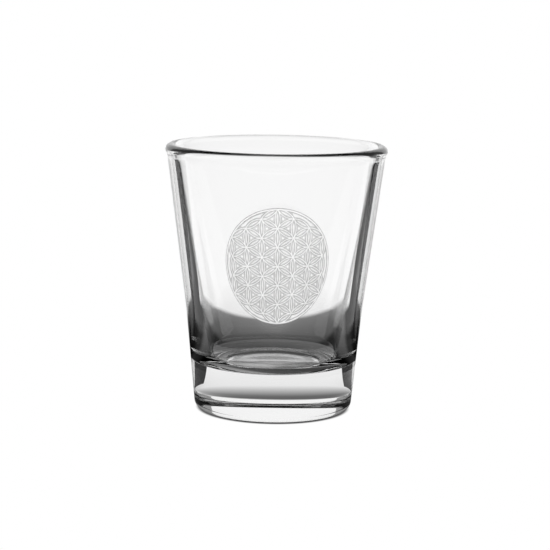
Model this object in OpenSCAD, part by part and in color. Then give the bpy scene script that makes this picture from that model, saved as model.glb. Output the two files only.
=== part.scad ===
// Heavy-base tapered shot glass with a round fired-on medallion of overlapping circles.
// Millimetres, +Z up. The origin is the centre of the base, on the surface the glass stands on.
// The medallion faces -Y.

/* [Glass] */
// Height of the glass
height = 60; // [50:0.5:80]
// Outer diameter of the lip
mouth_d = 49.7; // [48.6:0.1:54]
// Diameter of the wall just below the lip
neck_d = 48.8; // [46:0.1:49]
// Diameter at which the steeper upper wall begins
waist_d = 39.6; // [38:0.1:41]
// Diameter of the lower wall's cone at the standing surface
base_d = 35.4; // [34:0.1:37]
// Height at which the steeper upper wall begins
waist_z = 22; // [16:0.5:22]
// Height from the neck to the top
neck_h = 2.6; // [2.2:0.1:4]
// Height of the lip, which is rounded over all of its thickness
lip_h = 1.6; // [1.4:0.1:2]
// Thickness of the lip
rim_t = 2.4; // [1.6:0.1:2.6]
// Thickness of the solid base, up to the floor of the cup
floor_z = 10.4; // [9:0.1:16]
// Diameter of the cup's cone at its floor
floor_d = 28.8; // [27:0.1:30]
// Radius of the cup's inside corner
floor_round = 4; // [2:0.1:6]
// Radius of the heel, where the wall turns under
heel_round = 1.8; // [1:0.1:3]
// Diameter of the hollow under the base
punt_d = 26; // [16:0.5:28]
// Depth of the hollow under the base
punt_depth = 1.1; // [0.4:0.1:2]

/* [Medallion] */
// Height of the medallion's centre
medallion_z = 35.6; // [32:0.1:38]
// Diameter of the medallion, measured along the wall's height
medallion_d = 25.8; // [22:0.1:28]
// Width of the outer border line
border_w = 0.26; // [0.2:0.01:0.5]
// Clear band between the outer and the inner border lines
border_gap = 0.28; // [0.2:0.01:0.5]
// Width of the inner border line
inner_border_w = 0.2; // [0.16:0.01:0.4]
// Width of the lines of the rosette
line_w = 0.24; // [0.16:0.01:0.4]
// Thickness of the frosted ground, and of each deposit on it
enamel_t = 0.08; // [0.06:0.01:0.2]
// How much of its flat width the medallion keeps when it wraps round the wall
wrap = 0.9; // [0.8:0.01:1]

/* [Hidden] */
CRESCENTS = ["crescent_1", "crescent_2", "crescent_3", "crescent_4", "crescent_5", "crescent_6"];
$fn = 96;

// The outer wall is two cones, and the inside of the cup is one.
foot_slope = (waist_d - base_d) / 2 / waist_z;
neck_z = height - neck_h;
wall_slope = (neck_d - waist_d) / 2 / (neck_z - waist_z);
rim_r = rim_t / 2;
rim_z = height - rim_r;
rim_centre = mouth_d / 2 - rim_r;
cup_slope = (rim_centre - rim_r - floor_d / 2) / (rim_z - floor_z);
cup_angle = atan(cup_slope);
above = height + 5;

// The rosette: a lattice of equal circles, each centred on its neighbours' rims, three rings out.
rings = 3;
medallion_r = medallion_d / 2;
inner_border_r = medallion_r - border_w - border_gap;
lattice_r = inner_border_r - inner_border_w;
circle_r = (medallion_r - border_w / 2) / rings;
half_line = line_w / 2;
sixths = [0:60:300];
margin = 0.5;
arc_steps = 4;
ring_steps = 90;

// Radius of the upper wall at a height
function wall_r(z) = waist_d / 2 + wall_slope * (z - waist_z);

// A point at a distance and an angle from another
function polar(r, a) = [r * cos(a), r * sin(a)];

// The centre of lattice cell [i, j], counted along two directions 60 degrees apart
function lattice(i, j) = i * polar(circle_r, 30) + j * polar(circle_r, 90);

// How many steps along the lattice its centre is away
function steps_out(i, j) = max(abs(i), abs(j), abs(i + j));

// An arc round c from angle a to angle b
function arc(c, r, a, b, n) = [for (k = [0:n]) c + polar(r, a + (b - a) * k / n)];

// A point of the flat medallion as it is seen from the front, wrapped round the wall
function wrapped(p) =
    let (turn = wrap * p.x / wall_r(medallion_z) * 180 / PI)
    [wall_r(medallion_z + p.y) * sin(turn), medallion_z + p.y];

// A half profile of a cone: its radius at z = 0, its slope, its floor, and the radius of its lower corner
module cone_profile(r0, slope, low_z, round_r) {
    lean = atan(slope);
    corner = [r0 + slope * (low_z + round_r) - round_r / cos(lean), low_z + round_r];
    tangent = corner + polar(round_r, -lean);
    polygon([[0, low_z], [corner.x, low_z], tangent, [r0 + slope * above, above], [0, above]]);
    translate(corner) circle(round_r);
}

// The foot with its heel, the upper wall and the lip
module outer_profile() {
    intersection() {
        cone_profile(base_d / 2, foot_slope, 0, heel_round);
        square([mouth_d, waist_z]);
    }
    polygon([
        [0, waist_z], [waist_d / 2, waist_z], [neck_d / 2, neck_z],
        [mouth_d / 2, height - lip_h], [mouth_d / 2, rim_z], [0, rim_z]
    ]);
    translate([rim_centre, rim_z]) circle(rim_r);
}

// The cup's cone, which meets the rounded rim as a tangent
module cup_profile() {
    touch = [rim_centre, rim_z] + polar(rim_r, 180 - cup_angle);
    cone_profile(touch.x - cup_slope * touch.y, cup_slope, floor_z, floor_round);
}

// The hollow under the base, part of a large ball
module punt_profile() {
    punt_r = punt_d / 2;
    ball_r = (punt_r * punt_r + punt_depth * punt_depth) / 2 / punt_depth;
    intersection() {
        translate([0, punt_depth - ball_r]) circle(ball_r, $fn = 720);
        translate([0, -1]) square([punt_r, punt_depth + 1]);
    }
}

// A layer on the outside of the wall, as deep as one deposit
module wall_layer(offset_t) {
    low = medallion_z - medallion_r - margin;
    high = medallion_z + medallion_r + margin;
    near = offset_t;
    far = offset_t + enamel_t;
    rotate_extrude() polygon([
        [wall_r(low) + near, low], [wall_r(low) + far, low],
        [wall_r(high) + far, high], [wall_r(high) + near, high]
    ]);
}

// One deposit: the flat outline drawn as its children, on the front of the wall
module deposit(offset_t) {
    intersection() {
        wall_layer(offset_t);
        rotate([90, 0, 0]) linear_extrude(mouth_d) children();
    }
}

// A disc of the medallion, wrapped
module disc(r) {
    polygon([for (p = arc([0, 0], r, 0, 360 - 360 / ring_steps, ring_steps - 1)) wrapped(p)]);
}

// The space inside one petal, between two neighbouring arcs of the lattice
module petal_cell(middle, turn) {
    inner_r = circle_r - half_line;
    reach = circle_r * sqrt(3) / 2;
    half = acos(reach / inner_r);
    sides = [for (side = [0, 180]) let (a = turn + side)
        each arc(middle - polar(reach, a), inner_r, a - half, a + half, arc_steps)];
    polygon([for (p = sides) wrapped(p)]);
}

// The space inside one curved triangle, between three petals
module triangle_cell(middle, turn) {
    outer_r = circle_r + half_line;
    reach = circle_r * 2 / sqrt(3);
    half = 30 - acos(circle_r / outer_r);
    sides = [for (corner = [0, 120, 240]) let (a = turn + corner)
        each arc(middle + polar(reach, a), outer_r, a + 180 + half, a + 180 - half, arc_steps)];
    polygon([for (p = sides) wrapped(p)]);
}

// All that the outermost whole circles enclose
module rosette_outline() {
    for (i = [-rings:rings], j = [-rings:rings])
        if (steps_out(i, j) == rings - 1)
            polygon([for (p = arc(lattice(i, j), circle_r + half_line, 0, 350, 35)) wrapped(p)]);
    disc(circle_r * (rings - 1));
}

// The petals and the curved triangles of the whole lattice
module rosette_cells() {
    for (i = [-rings:rings], j = [-rings:rings], a = sixths)
        if (steps_out(i, j) <= rings) {
            near = lattice(i, j);
            next = [i, j] + [[1, 0], [0, 1], [-1, 1], [-1, 0], [0, -1], [1, -1]][a / 60];
            across = [i, j] + [[0, 1], [-1, 1], [-1, 0], [0, -1], [1, -1], [1, 0]][a / 60];
            if (a < 180 && steps_out(next.x, next.y) <= rings)
                petal_cell((near + lattice(next.x, next.y)) / 2, a + 120);
            if (a < 120 && steps_out(next.x, next.y) <= rings && steps_out(across.x, across.y) <= rings)
                triangle_cell((near + lattice(next.x, next.y) + lattice(across.x, across.y)) / 3, a + 60);
        }
}

module glass_body() {
    color("azure", 0.5) rotate_extrude() intersection() {
        difference() {
            outer_profile();
            cup_profile();
            punt_profile();
        }
        square([mouth_d, height]);
    }
}

module frosted_ground() {
    color("gainsboro") deposit(0) disc(medallion_r);
}

module border_line() {
    color("silver") deposit(enamel_t) difference() {
        disc(medallion_r);
        disc(medallion_r - border_w);
    }
}

module inner_border_line() {
    color("white") deposit(enamel_t) difference() {
        disc(inner_border_r);
        disc(lattice_r);
    }
}

module rosette() {
    color("white") deposit(enamel_t) difference() {
        intersection() {
            rosette_outline();
            disc(lattice_r);
        }
        rosette_cells();
    }
}

// One of the six crescents between the rosette and its border, counted anticlockwise from the right
module crescent(turn) {
    color("whitesmoke") deposit(enamel_t) intersection() {
        difference() {
            disc(lattice_r);
            rosette_outline();
        }
        polygon([for (p = [[0, 0], polar(medallion_d, turn - 28), polar(medallion_d, turn + 28)]) wrapped(p)]);
    }
}

glass_body();
frosted_ground();
border_line();
inner_border_line();
rosette();
for (k = [0:5]) crescent(60 * k);
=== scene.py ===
import math

import bmesh
import bpy
from mathutils import Matrix, Vector


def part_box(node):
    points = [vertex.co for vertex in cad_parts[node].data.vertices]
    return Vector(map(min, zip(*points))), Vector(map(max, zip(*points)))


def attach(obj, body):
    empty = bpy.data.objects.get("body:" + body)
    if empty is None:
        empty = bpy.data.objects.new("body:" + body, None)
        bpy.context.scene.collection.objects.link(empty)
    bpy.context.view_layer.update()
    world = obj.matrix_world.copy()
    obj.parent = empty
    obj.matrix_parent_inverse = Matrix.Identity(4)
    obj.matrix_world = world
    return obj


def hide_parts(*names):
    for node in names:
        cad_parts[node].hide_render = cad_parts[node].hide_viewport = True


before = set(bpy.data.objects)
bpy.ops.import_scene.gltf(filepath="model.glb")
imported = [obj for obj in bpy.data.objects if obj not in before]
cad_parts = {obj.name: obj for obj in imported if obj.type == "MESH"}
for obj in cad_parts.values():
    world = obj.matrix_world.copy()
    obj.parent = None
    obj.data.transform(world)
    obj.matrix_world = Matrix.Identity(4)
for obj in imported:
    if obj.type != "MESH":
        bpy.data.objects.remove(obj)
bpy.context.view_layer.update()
mm = 0.001
mergeDistance = 0.001 * mm
scene = bpy.context.scene

# camera
cameraSetup = {
    "distance": 421.9,    # mm from the glass's axis
    "height": 98.8,       # mm above the standing surface
    "lookDown": 9.22,     # degrees
    "roll": 0.9,          # degrees
    "aroundTo": 1.55,     # degrees that the camera stands to the left of the medallion
    "turn": 0.012,        # degrees to the right of the glass's axis
    "lens": 123.72,       # mm on a 36 mm sensor
}


def makeCamera(setup):
    data = bpy.data.cameras.new("camera")
    data.lens = setup["lens"]
    data.sensor_width = 36
    data.clip_start = 0.01
    data.clip_end = 50
    camera = bpy.data.objects.new("camera", data)
    scene.collection.objects.link(camera)
    around = math.radians(setup["aroundTo"])
    away = setup["distance"] * mm
    place = Vector((-away * math.sin(around), -away * math.cos(around), setup["height"] * mm))
    yaw = Matrix.Rotation(-around - math.radians(setup["turn"]), 4, "Z")
    pitch = Matrix.Rotation(math.radians(90 - setup["lookDown"]), 4, "X")
    roll = Matrix.Rotation(math.radians(setup["roll"]), 4, "Z")
    camera.matrix_world = Matrix.Translation(place) @ yaw @ pitch @ roll
    scene.camera = camera


makeCamera(cameraSetup)
print("camera ready")


# the glass's profile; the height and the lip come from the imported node's own box
glassLow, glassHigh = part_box("glass_body")
glassShape = {
    "height": glassHigh.z,
    "lipRadius": glassHigh.x,
    "lipHeight": 1.6 * mm,        # the lip's own height
    "lipThickness": 2.4 * mm,
    "neckRadius": 24.4 * mm,      # the wall just below the lip
    "neckHeight": 2.6 * mm,       # from the neck to the top
    "waistRadius": 19.8 * mm,     # where the steeper upper wall begins
    "waistHeight": 22 * mm,
    "footRadius": 17.7 * mm,      # the lower wall's cone at the standing surface
    "cupRadius": 14.4 * mm,       # the cup's cone at its floor
    "floor": 10.4 * mm,           # thickness of the base
    "floorRound": 4.0 * mm,       # radius of the cup's inside corner
    "heelRound": 1.8 * mm,
    "neckRound": 4.0 * mm,
    "waistRound": 120 * mm,
    "puntRadius": 13.0 * mm,      # the hollow under the base
    "puntDepth": 1.1 * mm,
    "steps": 256,                 # around the axis
    "puntCuts": 24,               # of the hollow's profile
    "longEdge": 10 * mm,          # straight stretches over this length are cut up
    "longCuts": 30,
}


# radius of the upper wall, which is a cone
def wallRadius(z):
    shape = glassShape
    rise = shape["height"] - shape["neckHeight"] - shape["waistHeight"]
    slope = (shape["neckRadius"] - shape["waistRadius"]) / rise
    return shape["waistRadius"] + slope * (z - shape["waistHeight"])


# rounds the corner of the wire profile that lies nearest a place, with a true radius
def roundCorner(bm, place, radius, segments):
    corner = min(bm.verts, key=lambda vert: (vert.co - Vector((place[0], 0, place[1]))).length)
    directions = [(edge.other_vert(corner).co - corner.co).normalized() for edge in corner.link_edges]
    half = directions[0].angle(directions[1]) / 2
    bmesh.ops.bevel(bm, geom=[corner], offset=radius / math.tan(half), offset_type="OFFSET",
                    affect="VERTICES", segments=segments, profile=0.5, material=-1)


def makeGlass(shape):
    bm = bmesh.new()
    top = shape["height"]
    lipRound = shape["lipThickness"] / 2
    corners = {
        "puntCentre": (0, 0),
        "puntEdge": (shape["puntRadius"], 0),
        "heel": (shape["footRadius"], 0),
        "waist": (shape["waistRadius"], shape["waistHeight"]),
        "neck": (shape["neckRadius"], top - shape["neckHeight"]),
        "lip": (shape["lipRadius"], top - shape["lipHeight"]),
        "rimOuter": (shape["lipRadius"], top),
        "rimInner": (shape["lipRadius"] - shape["lipThickness"], top),
        "cupCorner": (shape["cupRadius"], shape["floor"]),
        "floorCentre": (0, shape["floor"]),
    }
    chain = [bm.verts.new((r, 0, z)) for r, z in corners.values()]
    edges = [bm.edges.new(pair) for pair in zip(chain, chain[1:])]
    bmesh.ops.subdivide_edges(bm, edges=[edges[0]], cuts=shape["puntCuts"])
    for vert in bm.verts:
        if vert.co.z == 0 and vert.co.x < shape["puntRadius"]:
            vert.co.z = shape["puntDepth"] * (1 - (vert.co.x / shape["puntRadius"]) ** 2)
    rounds = {                    # the radius of each corner, and the steps along it
        "heel": (shape["heelRound"], 10),
        "waist": (shape["waistRound"], 12),
        "neck": (shape["neckRound"], 6),
        "lip": (lipRound, 4),
        "rimOuter": (lipRound, 10),
        "rimInner": (lipRound, 10),
        "cupCorner": (shape["floorRound"], 24),
    }
    for name, (radius, segments) in rounds.items():
        roundCorner(bm, corners[name], radius, segments)
    longEdges = [edge for edge in bm.edges if edge.calc_length() > shape["longEdge"]]
    bmesh.ops.subdivide_edges(bm, edges=longEdges, cuts=shape["longCuts"])
    profile = bm.verts[:] + bm.edges[:]
    bmesh.ops.spin(bm, geom=profile, cent=(0, 0, 0), axis=(0, 0, 1), angle=math.tau,
                   steps=shape["steps"], use_merge=True)
    bmesh.ops.remove_doubles(bm, verts=bm.verts, dist=mergeDistance)
    bmesh.ops.recalc_face_normals(bm, faces=bm.faces)
    return finishPiece("glass", bm)


def keepMesh(name, bm):
    mesh = bpy.data.meshes.new(name)
    bm.to_mesh(mesh)
    bm.free()
    return mesh


def finishPiece(name, bm):
    mesh = keepMesh(name, bm)
    mesh.shade_smooth()
    piece = bpy.data.objects.new(name, mesh)
    scene.collection.objects.link(piece)
    return piece


def newMaterial(name):
    material = bpy.data.materials.new(name)
    material.use_nodes = True
    return material, material.node_tree.nodes["Principled BSDF"]


def glassMaterial():
    material, shader = newMaterial("clearGlass")
    shader.inputs["Base Color"].default_value = (1, 1, 1, 1)
    shader.inputs["Roughness"].default_value = 0
    shader.inputs["IOR"].default_value = 1.5
    shader.inputs["Transmission Weight"].default_value = 1
    return material


glass = makeGlass(glassShape)
glass.data.materials.append(glassMaterial())
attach(glass, "root")
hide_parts("glass_body")
print("glass ready")

# the medallion is drawn flat round its own centre, u to the right, v up and w outwards,
# and then wrapped on the wall
groundLow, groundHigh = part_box("frosted_ground")
medallion = {
    "centre": (groundLow.z + groundHigh.z) / 2,
    "radius": (groundHigh.z - groundLow.z) / 2,
    "keepsWidth": 0.9,            # of the flat width, when it is wrapped
    "tilt": 0.9,                  # degrees anticlockwise
    "sunk": 0.02 * mm,            # how deep every piece reaches into the glass
    "groundRise": 0.035 * mm,
    "groundEdge": 0.12 * mm,      # how far the ground thins out at its rim
    "rings": 3,                   # lattice steps from the middle to the figure's corners
    "shadeWidth": 0.54 * mm,      # grey band of painted shade under each white line, darkening its edges
    "shadeRise": 0.07 * mm,
    "lineWidth": 0.21 * mm,
    "lineRise": 0.12 * mm,
    "borderIn": 0.3 * mm,         # from the edge to the middle of the border's white line
    "borderWidth": 0.3 * mm,
    "borderShadeIn": 0.33 * mm,
    "borderShadeWidth": 0.66 * mm,
    "crescentOut": 0.66 * mm,     # from the edge to the crescents
    "crescentGap": 0.35 * mm,     # between a crescent and the circles
    "crescentReach": 14,          # degrees each side of a crescent's middle
    "crescentRise": 0.12 * mm,
    "dotRadius": 0.27 * mm,       # the white dot in each curved triangle
    "leafHalfLength": 1.35 * mm,  # the thin leaf along the middle of each petal
    "leafHalfWidth": 0.12 * mm,
    "moundRise": 0.11 * mm,       # of the dots and the leaves
    "moundSteps": 12,
    "circleSteps": 72,            # in one circle of the rosette
    "edgeSteps": 144,             # in the borders and the ground's edge
    "groundCuts": 15,             # from the ground's middle to its edge
}
# a line's section: across it in halves of its width, and up as a share of its rise; None is its sunken foot
lineSection = ((-1, None), (-0.94, 0.75), (-0.5, 0.95), (0, 1), (0.5, 0.95), (0.94, 0.75), (1, None))
circleRadius = (medallion["radius"] - medallion["borderIn"]) / medallion["rings"]


# nothing of the figure may stand out over the edge
def keepOnDisc(bm):
    edge = medallion["radius"]
    for vert in bm.verts:
        away = math.hypot(vert.co.x, vert.co.y)
        if away > edge:
            vert.co.x *= edge / away
            vert.co.y *= edge / away


def wrapOnWall(bm):
    tilt = Matrix.Rotation(math.radians(medallion["tilt"]), 3, "Z")
    bmesh.ops.rotate(bm, verts=bm.verts, cent=(0, 0, 0), matrix=tilt)
    turnPerWidth = medallion["keepsWidth"] / wallRadius(medallion["centre"])
    for vert in bm.verts:
        u, v, w = vert.co
        z = medallion["centre"] + v
        r = wallRadius(z) + w
        vert.co = (r * math.sin(u * turnPerWidth), -r * math.cos(u * turnPerWidth), z)


def polar(distance, degrees):
    angle = math.radians(degrees)
    return Vector((distance * math.cos(angle), distance * math.sin(angle), 0))


# a low rounded line along a circle, or along a part of one
def arcMesh(radius, width, rise, steps, start=0, sweep=360):
    bm = bmesh.new()
    section = []
    for across, up in lineSection:
        w = -medallion["sunk"] if up is None else rise * up
        place = polar(radius + across * width / 2, start)
        section.append(bm.verts.new((place.x, place.y, w)))
    edges = [bm.edges.new(pair) for pair in zip(section, section[1:] + section[:1])]
    bmesh.ops.spin(bm, geom=section + edges, cent=(0, 0, 0), axis=(0, 0, 1), angle=math.radians(sweep),
                   steps=steps, use_merge=sweep == 360)
    bmesh.ops.holes_fill(bm, edges=[edge for edge in bm.edges if edge.is_boundary], sides=0)
    bmesh.ops.recalc_face_normals(bm, faces=bm.faces)
    return keepMesh("arc", bm)


# adds a copy of a small mesh at a place
def stamp(bm, mesh, place):
    known = len(bm.verts)
    bm.from_mesh(mesh)
    bm.verts.ensure_lookup_table()
    bmesh.ops.translate(bm, verts=bm.verts[known:], vec=place)


# the circles' centres are the cells of a lattice, counted along two directions 60 degrees apart
def latticeCells(reach):
    return [(i, j) for i in range(-reach, reach + 1) for j in range(-reach, reach + 1)]


def cellPlace(cell):
    return cell[0] * polar(circleRadius, 30) + cell[1] * polar(circleRadius, 90)


def neighbour(cell, direction):
    step = ((1, 0), (0, 1), (-1, 1), (-1, 0), (0, -1), (1, -1))[direction % 6]
    return cell[0] + step[0], cell[1] + step[1]


def stepsOut(cell):
    return max(abs(cell[0]), abs(cell[1]), abs(cell[0] + cell[1]))


def inFigure(*cells):
    return all(stepsOut(cell) <= medallion["rings"] for cell in cells)


# equal circles, each centred on its neighbours' rims; past the second ring only the arcs inside the figure
def makeRosette(name, width, rise):
    bm = bmesh.new()
    steps = medallion["circleSteps"]
    circle = arcMesh(circleRadius, width, rise, steps)
    starts = range(30, 390, 60)
    sixths = [arcMesh(circleRadius, width, rise, steps // 6, start, 60) for start in starts]
    for cell in latticeCells(medallion["rings"] + 1):
        if stepsOut(cell) < medallion["rings"]:
            stamp(bm, circle, cellPlace(cell))
            continue
        for direction, sixth in enumerate(sixths):
            if inFigure(neighbour(cell, direction), neighbour(cell, direction + 1)):
                stamp(bm, sixth, cellPlace(cell))
    for mesh in [circle] + sixths:
        bpy.data.meshes.remove(mesh)
    keepOnDisc(bm)
    wrapOnWall(bm)
    return finishPiece(name, bm)


# a low mound, longer along one direction
def moundMesh(halfLength, halfWidth, degrees=0):
    bm = bmesh.new()
    steps = medallion["moundSteps"]
    turn = Matrix.Rotation(math.radians(degrees), 3, "Z")
    bmesh.ops.create_uvsphere(bm, u_segments=steps, v_segments=steps // 2, radius=1)
    bmesh.ops.scale(bm, verts=bm.verts, vec=(halfLength, halfWidth, medallion["moundRise"]))
    bmesh.ops.rotate(bm, verts=bm.verts, cent=(0, 0, 0), matrix=turn)
    return keepMesh("mound", bm)


# a dot in every curved triangle between three circles
def makeDots(shape):
    bm = bmesh.new()
    dot = moundMesh(shape["dotRadius"], shape["dotRadius"])
    for cell in latticeCells(shape["rings"]):
        for direction in range(2):
            corners = (cell, neighbour(cell, direction), neighbour(cell, direction + 1))
            if inFigure(*corners):
                stamp(bm, dot, sum((cellPlace(corner) for corner in corners), Vector()) / 3)
    bpy.data.meshes.remove(dot)
    wrapOnWall(bm)
    return finishPiece("medallionDots", bm)


# a leaf in every petal, which lies between two neighbouring centres
def makeLeaves(shape):
    bm = bmesh.new()
    leaves = [moundMesh(shape["leafHalfLength"], shape["leafHalfWidth"], turn) for turn in (30, 90, 150)]
    for cell in latticeCells(shape["rings"]):
        for direction, leaf in enumerate(leaves):
            ends = (cell, neighbour(cell, direction))
            if inFigure(*ends):
                stamp(bm, leaf, (cellPlace(ends[0]) + cellPlace(ends[1])) / 2)
    for leaf in leaves:
        bpy.data.meshes.remove(leaf)
    wrapOnWall(bm)
    return finishPiece("medallionLeaves", bm)


def makeRing(name, inward, width, rise):
    bm = bmesh.new()
    ring = arcMesh(medallion["radius"] - inward, width, rise, medallion["edgeSteps"])
    bm.from_mesh(ring)
    bpy.data.meshes.remove(ring)
    wrapOnWall(bm)
    return finishPiece(name, bm)


def makeGround(shape):
    bm = bmesh.new()
    outline = ((0, -shape["sunk"]), (shape["radius"], -shape["sunk"]), (shape["radius"], 0),
               (shape["radius"] - shape["groundEdge"], shape["groundRise"]), (0, shape["groundRise"]))
    chain = [bm.verts.new((u, 0, w)) for u, w in outline]
    edges = [bm.edges.new(pair) for pair in zip(chain, chain[1:])]
    bmesh.ops.subdivide_edges(bm, edges=[edges[0], edges[-1]], cuts=shape["groundCuts"])
    bmesh.ops.spin(bm, geom=bm.verts[:] + bm.edges[:], cent=(0, 0, 0), axis=(0, 0, 1), angle=math.tau,
                   steps=shape["edgeSteps"], use_merge=True)
    bmesh.ops.remove_doubles(bm, verts=bm.verts, dist=mergeDistance)
    bmesh.ops.recalc_face_normals(bm, faces=bm.faces)
    wrapOnWall(bm)
    return finishPiece("medallionGround", bm)


# how far from the medallion's centre a ray leaves the nearest outer circles of the rosette
def rosetteEdge(degrees):
    outer = circleRadius + medallion["crescentGap"]
    reaches = []
    for away, turn in ((math.sqrt(3), 0), (2, -30), (2, 30)):
        across = away * circleRadius * math.sin(math.radians(degrees - turn))
        along = away * circleRadius * math.cos(math.radians(degrees - turn))
        if abs(across) < outer:
            reaches.append(along + math.sqrt(outer ** 2 - across ** 2))
    return max(reaches)


def makeCrescent(number, shape):
    bm = bmesh.new()
    outerRadius = shape["radius"] - shape["crescentOut"]
    inner, outer = [], []
    for degrees in range(-shape["crescentReach"], shape["crescentReach"] + 1):
        edge = rosetteEdge(degrees)
        if edge < outerRadius:
            turned = degrees + 60 * number
            inner.append(bm.verts.new(polar(edge, turned)))
            outer.append(bm.verts.new(polar(outerRadius, turned)))
    chains = [bm.edges.new(pair) for chain in (inner, outer) for pair in zip(chain, chain[1:])]
    bmesh.ops.bridge_loops(bm, edges=chains)
    for vert in bm.verts:
        vert.co.z = -shape["sunk"]
    walls = bmesh.ops.extrude_face_region(bm, geom=bm.faces[:])
    raised = [item for item in walls["geom"] if isinstance(item, bmesh.types.BMVert)]
    bmesh.ops.translate(bm, verts=raised, vec=(0, 0, shape["crescentRise"] + shape["sunk"]))
    bmesh.ops.recalc_face_normals(bm, faces=bm.faces)
    wrapOnWall(bm)
    return finishPiece(f"medallionCrescent{number + 1}", bm)


# fired-on enamel: a faintly mottled colour, a satin face with a fine grain, and some of the glass showing
# through; low and high are the ends of the colour, and the last entry is the share kept at the bottom, as
# painted shade
enamelLooks = {
    "frostedEnamel": {
        "low": 0.74,
        "high": 0.88,
        "roughness": 0.5,
        "grain": 0.25,
        "cover": 0.74,
        "bottomShade": 0.8,
    },
    # the grey is painted shade along the edges of the raised white lines
    "greyPaintedShade": {
        "low": 0.5,
        "high": 0.64,
        "roughness": 0.5,
        "grain": 0.2,
        "cover": 0.8,
        "bottomShade": 0.86,
    },
    "whiteEnamel": {
        "low": 0.86,
        "high": 0.95,
        "roughness": 0.4,
        "grain": 0.15,
        "cover": 0.96,
        "bottomShade": 0.9,
    },
}
enamelGrain = {
    "mottleScale": 900,
    "mottleDetail": 4,
    "mottleSpread": (0.35, 0.65),     # the stretch of the noise that goes from low to high
    "grainScale": 5000,
    "grainDetail": 2,
    "grainDepth": 0.02 * mm,
}


def noise(tree, place, scale, detail):
    node = tree.nodes.new("ShaderNodeTexNoise")
    node.inputs["Scale"].default_value = scale
    node.inputs["Detail"].default_value = detail
    tree.links.new(place.outputs["Object"], node.inputs["Vector"])
    return node


def greyRamp(tree, stops):
    ramp = tree.nodes.new("ShaderNodeValToRGB")
    elements = ramp.color_ramp.elements
    while len(elements) < len(stops):
        elements.new(0.5)
    for element, (position, tone) in zip(elements, stops):
        element.position = position
        element.color = (tone, tone, tone, 1)
    return ramp


# 1 at the medallion's top, falling to the lowest share at its bottom: painted shade that darkens the enamel
# downwards
def paintedBottomShade(tree, place, lowest):
    upDown = tree.nodes.new("ShaderNodeSeparateXYZ")
    share = tree.nodes.new("ShaderNodeMapRange")
    share.inputs["From Min"].default_value = medallion["centre"] - medallion["radius"]
    share.inputs["From Max"].default_value = medallion["centre"] + medallion["radius"]
    share.inputs["To Min"].default_value = lowest
    tree.links.new(place.outputs["Object"], upDown.inputs["Vector"])
    tree.links.new(upDown.outputs["Z"], share.inputs["Value"])
    return share


def enamelMaterial(name):
    look = enamelLooks[name]
    material, shader = newMaterial(name)
    tree = material.node_tree
    place = tree.nodes.new("ShaderNodeTexCoord")
    mottle = noise(tree, place, enamelGrain["mottleScale"], enamelGrain["mottleDetail"])
    tone = greyRamp(tree, tuple(zip(enamelGrain["mottleSpread"], (look["low"], look["high"]))))
    # painted shade: the enamel's colour is darkened towards the bottom
    bottomShaded = paintedBottomShade(tree, place, look["bottomShade"])
    shade = tree.nodes.new("ShaderNodeVectorMath")
    shade.operation = "SCALE"
    tree.links.new(mottle.outputs["Fac"], tone.inputs["Fac"])
    tree.links.new(tone.outputs["Color"], shade.inputs["Vector"])
    tree.links.new(bottomShaded.outputs["Result"], shade.inputs["Scale"])
    tree.links.new(shade.outputs["Vector"], shader.inputs["Base Color"])
    grain = noise(tree, place, enamelGrain["grainScale"], enamelGrain["grainDetail"])
    bump = tree.nodes.new("ShaderNodeBump")
    bump.inputs["Strength"].default_value = look["grain"]
    bump.inputs["Distance"].default_value = enamelGrain["grainDepth"]
    tree.links.new(grain.outputs["Fac"], bump.inputs["Height"])
    tree.links.new(bump.outputs["Normal"], shader.inputs["Normal"])
    shader.inputs["Roughness"].default_value = look["roughness"]
    shader.inputs["Alpha"].default_value = look["cover"]
    return material


frosted = enamelMaterial("frostedEnamel")
grey = enamelMaterial("greyPaintedShade")
white = enamelMaterial("whiteEnamel")


def addToMedallion(piece, material, slotName, *nodes):
    piece.data.materials.append(material)
    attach(piece, "root")
    if nodes:
        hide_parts(*nodes)


addToMedallion(makeGround(medallion), frosted, "frosted_enamel", "frosted_ground")
# the grey ring and bands are painted shade along the edges of the white lines
borderPaintedShade = makeRing("medallionBorderPaintedShade", medallion["borderShadeIn"], medallion["borderShadeWidth"],
                       medallion["shadeRise"])
addToMedallion(borderPaintedShade, grey, "grey_enamel", "border_line")
border = makeRing("medallionBorder", medallion["borderIn"], medallion["borderWidth"], medallion["lineRise"])
addToMedallion(border, white, "white_enamel", "inner_border_line")
rosettePaintedShade = makeRosette("medallionRosettePaintedShade", medallion["shadeWidth"], medallion["shadeRise"])
addToMedallion(rosettePaintedShade, grey, "grey_enamel")
rosette = makeRosette("medallionRosette", medallion["lineWidth"], medallion["lineRise"])
addToMedallion(rosette, white, "white_enamel", "rosette")
addToMedallion(makeDots(medallion), white, "white_enamel")
addToMedallion(makeLeaves(medallion), white, "white_enamel")
for number in range(6):
    addToMedallion(makeCrescent(number, medallion), white, "white_enamel", f"crescent_{number + 1}")
print("medallion ready")

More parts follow.
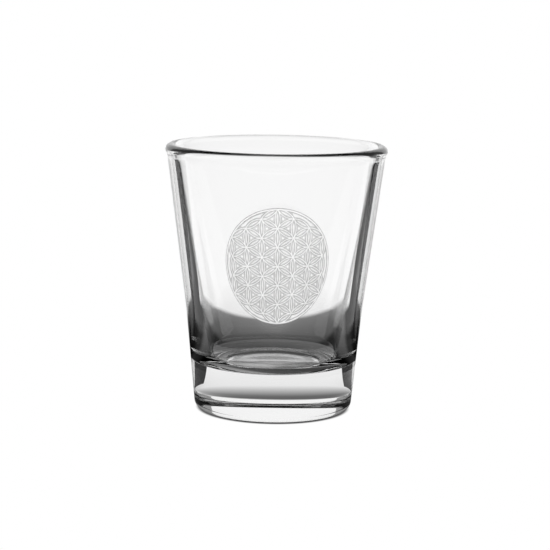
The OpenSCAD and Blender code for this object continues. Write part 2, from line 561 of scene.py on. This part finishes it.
# the studio: a pale floor and a pale room for the eye, and cards that only the glass and its gloss see
studio = {
    "floorHalf": 3000 * mm,       # half the width of both floors
    "floorLevel": -0.1 * mm,
    "contactShadowReach": 40 * mm,      # the pale floor, with a painted contact shadow: a narrow dark line where the foot meets it
    "contactShadowStops": ((0.4, 0.04), (0.42, 0.12), (0.44, 1.0)),
    "roomTone": 0.3,              # what the glass sees all round, below the dark ceiling
    "ceilingTone": 0.04,
    "roomTop": 0.65,              # where the room starts to darken, 1 being straight up
    "ceilingFrom": 0.75,
    "lidTone": 0.4,               # a card high above the side of the viewer
    "lidHalfWidth": 800 * mm,
    "lidHalfDepth": 330 * mm,
    "lidAhead": 380 * mm,
    "lidHeight": 900 * mm,
    "backTone": 0.97,             # the lit backdrop behind the glass
    "backHalfWidth": 480 * mm,
    "backHeight": 540 * mm,
    "backAway": 600 * mm,
    "shadeReach": 132 * mm,       # the floor that the glass sees: painted shade near the foot, bright further out
    "shadeLevel": -0.2 * mm,
    "shadeStops": ((0.05, 0.3), (0.08, 0.08), (0.16, 0.05), (0.28, 0.12), (0.36, 0.45), (0.45, 0.85),
                   (1.0, 0.98)),
    "shadeAside": 8 * mm,         # how far the shade's middle lies to the left
    "collarIn": 18.9 * mm,        # the dark collar round the foot, a card of painted shade which only the cup's floor region sees
    "collarOut": 47 * mm,
    "collarLobes": 0.4,           # how much further it reaches at its four corners
    "collarHeight": 10 * mm,
    "collarInTone": 0.05,
    "collarOutTone": 0.24,
    "collarDarkFrom": (40, 50),   # degrees from straight back, where its painted shade is darker
    "collarDarkTo": (74, 84),
    "collarDarkness": 0.9,
    "collarFadesFrom": 0.8,       # of the way out
    "collarSpans": 16,
    "collarSteps": 120,
    "flagIn": 66 * mm,            # the dark strips on the floor
    "flagOut": 640 * mm,
    "flagFrom": 35,               # degrees from straight back
    "flagTo": 61,
    "flagTone": 0.02,
    "flagLevel": -0.15 * mm,
    "flagSteps": 12,
}


def emission(name, tone):
    material = bpy.data.materials.new(name)
    material.use_nodes = True
    tree = material.node_tree
    tree.nodes.clear()
    glow = tree.nodes.new("ShaderNodeEmission")
    glow.inputs["Color"].default_value = (tone, tone, tone, 1)
    out = tree.nodes.new("ShaderNodeOutputMaterial")
    tree.links.new(glow.outputs["Emission"], out.inputs["Surface"])
    return material


def addStage(name, bm, material):
    piece = finishPiece(name, bm)
    piece.data.materials.append(material)
    return piece


def onlyForGlass(piece):
    piece.visible_camera = False
    piece.visible_diffuse = False
    piece.visible_shadow = False


def flatCard(halfWidth, halfDepth, z):
    bm = bmesh.new()
    bmesh.ops.create_grid(bm, x_segments=1, y_segments=1, size=1)
    bmesh.ops.scale(bm, verts=bm.verts, vec=(halfWidth, halfDepth, 1))
    bmesh.ops.translate(bm, verts=bm.verts, vec=(0, 0, z))
    return bm


# a glow whose tone follows the distance from a point on the floor, as a share of how far it reaches; it
# paints the shade round the foot
def radialGlow(name, reach, aside, stops):
    material = emission(name, 1)
    nodes, links = material.node_tree.nodes, material.node_tree.links
    place = nodes.new("ShaderNodeTexCoord")
    mapping = nodes.new("ShaderNodeMapping")
    mapping.inputs["Location"].default_value = (aside, 0, 0)
    away = nodes.new("ShaderNodeVectorMath")
    away.operation = "LENGTH"
    share = nodes.new("ShaderNodeMath")
    share.operation = "DIVIDE"
    share.inputs[1].default_value = reach
    ramp = greyRamp(material.node_tree, stops)
    links.new(place.outputs["Object"], mapping.inputs["Vector"])
    links.new(mapping.outputs["Vector"], away.inputs[0])
    links.new(away.outputs["Value"], share.inputs[0])
    links.new(share.outputs["Value"], ramp.inputs["Fac"])
    links.new(ramp.outputs["Color"], nodes["Emission"].inputs["Color"])
    return material


# the collar glows a little as painted shade, dimmest at the foot and more towards its rim, where it fades
# out; from below it is clear
def collarMaterial():
    material = emission("collar", 1)
    nodes, links = material.node_tree.nodes, material.node_tree.links
    tone = nodes.new("ShaderNodeAttribute")
    tone.attribute_name = "tone"
    hidden = nodes.new("ShaderNodeAttribute")
    hidden.attribute_name = "hidden"
    side = nodes.new("ShaderNodeNewGeometry")
    unseen = nodes.new("ShaderNodeMath")
    unseen.operation = "MAXIMUM"
    clear = nodes.new("ShaderNodeBsdfTransparent")
    mix = nodes.new("ShaderNodeMixShader")
    links.new(tone.outputs["Fac"], nodes["Emission"].inputs["Strength"])
    links.new(hidden.outputs["Fac"], unseen.inputs[0])
    links.new(side.outputs["Backfacing"], unseen.inputs[1])
    links.new(unseen.outputs["Value"], mix.inputs["Fac"])
    links.new(nodes["Emission"].outputs["Emission"], mix.inputs[1])
    links.new(clear.outputs["BSDF"], mix.inputs[2])
    links.new(mix.outputs["Shader"], nodes["Material Output"].inputs["Surface"])
    return material


def smoothStep(value, low, high):
    share = min(max((value - low) / (high - low), 0), 1)
    return share * share * (3 - 2 * share)


def makeCollar(shape):
    bm = bmesh.new()
    tone = bm.verts.layers.float.new("tone")
    hidden = bm.verts.layers.float.new("hidden")
    spans = shape["collarSpans"]
    line = [bm.verts.new((1 + step / spans, 0, 0)) for step in range(spans + 1)]
    edges = [bm.edges.new(pair) for pair in zip(line, line[1:])]
    bmesh.ops.spin(bm, geom=line + edges, cent=(0, 0, 0), axis=(0, 0, 1), angle=math.tau,
                   steps=shape["collarSteps"], use_merge=True)
    for vert in bm.verts:
        share = vert.co.length - 1
        angle = math.atan2(vert.co.y, vert.co.x)
        rim = shape["collarOut"] * (1 + shape["collarLobes"] * math.sin(2 * angle) ** 2)
        aside = math.degrees(math.acos(min(abs(math.sin(angle)), 1)))    # from straight ahead or back
        # painted shade: darkest near the foot, and darker again between about 45 and 80 degrees from
        # straight ahead or back
        dark = smoothStep(aside, *shape["collarDarkFrom"]) * (1 - smoothStep(aside, *shape["collarDarkTo"]))
        plainTone = shape["collarInTone"] * (1 - share) + shape["collarOutTone"] * share
        vert[tone] = plainTone * (1 - shape["collarDarkness"] * dark)
        vert[hidden] = smoothStep(share, shape["collarFadesFrom"], 1)
        radius = shape["collarIn"] + (rim - shape["collarIn"]) * share
        vert.co = (radius * math.cos(angle), radius * math.sin(angle), shape["collarHeight"])
    bm.normal_update()
    facingDown = [face for face in bm.faces if face.normal.z < 0]
    bmesh.ops.reverse_faces(bm, faces=facingDown)
    return bm


# side is -1 on the left and 1 on the right
def makeFlag(shape, side):
    bm = bmesh.new()
    start = 90 - side * shape["flagFrom"]
    sweep = -side * (shape["flagTo"] - shape["flagFrom"])
    ends = [bm.verts.new(polar(shape[end], start)) for end in ("flagIn", "flagOut")]
    edge = bm.edges.new(ends)
    bmesh.ops.spin(bm, geom=ends + [edge], cent=(0, 0, 0), axis=(0, 0, 1), angle=math.radians(sweep),
                   steps=shape["flagSteps"])
    bmesh.ops.translate(bm, verts=bm.verts, vec=(0, 0, shape["flagLevel"]))
    return bm


# white to the eye; all else sees a grey room with a dark ceiling
def makeRoom(shape):
    world = bpy.data.worlds.new("studio")
    world.use_nodes = True
    nodes, links = world.node_tree.nodes, world.node_tree.links
    way = nodes.new("ShaderNodeTexCoord")
    split = nodes.new("ShaderNodeSeparateXYZ")
    stops = ((shape["roomTop"], shape["roomTone"]), (shape["ceilingFrom"], shape["ceilingTone"]))
    ramp = greyRamp(world.node_tree, stops)
    pale = nodes.new("ShaderNodeBackground")
    pale.inputs["Color"].default_value = (1, 1, 1, 1)
    seen = nodes.new("ShaderNodeLightPath")
    mix = nodes.new("ShaderNodeMixShader")
    links.new(way.outputs["Generated"], split.inputs["Vector"])
    links.new(split.outputs["Z"], ramp.inputs["Fac"])
    links.new(ramp.outputs["Color"], nodes["Background"].inputs["Color"])
    links.new(seen.outputs["Is Camera Ray"], mix.inputs["Fac"])
    links.new(nodes["Background"].outputs["Background"], mix.inputs[1])
    links.new(pale.outputs["Background"], mix.inputs[2])
    links.new(mix.outputs["Shader"], nodes["World Output"].inputs["Surface"])
    scene.world = world


# a lit backdrop that stands behind the glass
def makeBackdrop(shape):
    bm = flatCard(shape["backHalfWidth"], shape["backHeight"] / 2, 0)
    bmesh.ops.rotate(bm, verts=bm.verts, cent=(0, 0, 0), matrix=Matrix.Rotation(math.radians(90), 3, "X"))
    bmesh.ops.translate(bm, verts=bm.verts, vec=(0, shape["backAway"], shape["backHeight"] / 2))
    return bm


def makeLid(shape):
    bm = flatCard(shape["lidHalfWidth"], shape["lidHalfDepth"], shape["lidHeight"])
    bmesh.ops.translate(bm, verts=bm.verts, vec=(0, -shape["lidAhead"], 0))
    return bm


def makeStudio(shape):
    half = shape["floorHalf"]
    # the pale floor carries a painted contact shadow round the foot
    pale = radialGlow("paleFloorPaintedShadow", shape["contactShadowReach"], 0, shape["contactShadowStops"])
    floor = addStage("floor", flatCard(half, half, shape["floorLevel"]), pale)
    floor.visible_transmission = False
    floor.visible_glossy = False
    # the floor card that the glass sees is painted dark round the foot, as shade
    shaded = radialGlow("paintedShadeFloorCard", shape["shadeReach"], shape["shadeAside"], shape["shadeStops"])
    dark = emission("darkStrip", shape["flagTone"])
    onlyForGlass(addStage("paintedShadeFloorCard", flatCard(half, half, shape["shadeLevel"]), shaded))
    onlyForGlass(addStage("collarCard", makeCollar(shape), collarMaterial()))
    onlyForGlass(addStage("darkStripLeft", makeFlag(shape, -1), dark))
    onlyForGlass(addStage("darkStripRight", makeFlag(shape, 1), dark))
    onlyForGlass(addStage("backdropCard", makeBackdrop(shape), emission("backdrop", shape["backTone"])))
    onlyForGlass(addStage("lidCard", makeLid(shape), emission("lid", shape["lidTone"])))
    makeRoom(shape)


# soft lights for the enamel, which the glass doesn't mirror; the one behind reaches it through the glass
softLights = {
    "keyLight": {"place": (-0.5, -0.7, 0.55), "size": 0.7, "watts": 5.0},
    "fillLight": {"place": (0.6, -0.6, 0.3), "size": 0.6, "watts": 2.8},
    "backLight": {"place": (0.2, 0.9, 0.5), "size": 0.7, "watts": 6, "throughGlass": True},
}


def addSoftLight(name, setup):
    data = bpy.data.lights.new(name, "AREA")
    data.shape = "SQUARE"
    data.size = setup["size"]
    data.energy = setup["watts"]
    light = bpy.data.objects.new(name, data)
    scene.collection.objects.link(light)
    place = Vector(setup["place"])
    aim = Vector((0, 0, medallion["centre"])) - place
    light.matrix_world = Matrix.Translation(place) @ aim.to_track_quat("-Z", "Y").to_matrix().to_4x4()
    light.visible_glossy = False
    light.visible_transmission = False
    if setup.get("throughGlass"):
        spared = bpy.data.collections.new(name + "Spares")    # these throw no shadow from this light
        spared.objects.link(glass)
        spared.collection_objects[0].light_linking.link_state = "EXCLUDE"
        light.light_linking.blocker_collection = spared


makeStudio(studio)
for name, setup in softLights.items():
    addSoftLight(name, setup)
scene.view_settings.view_transform = "Standard"
print("studio ready")
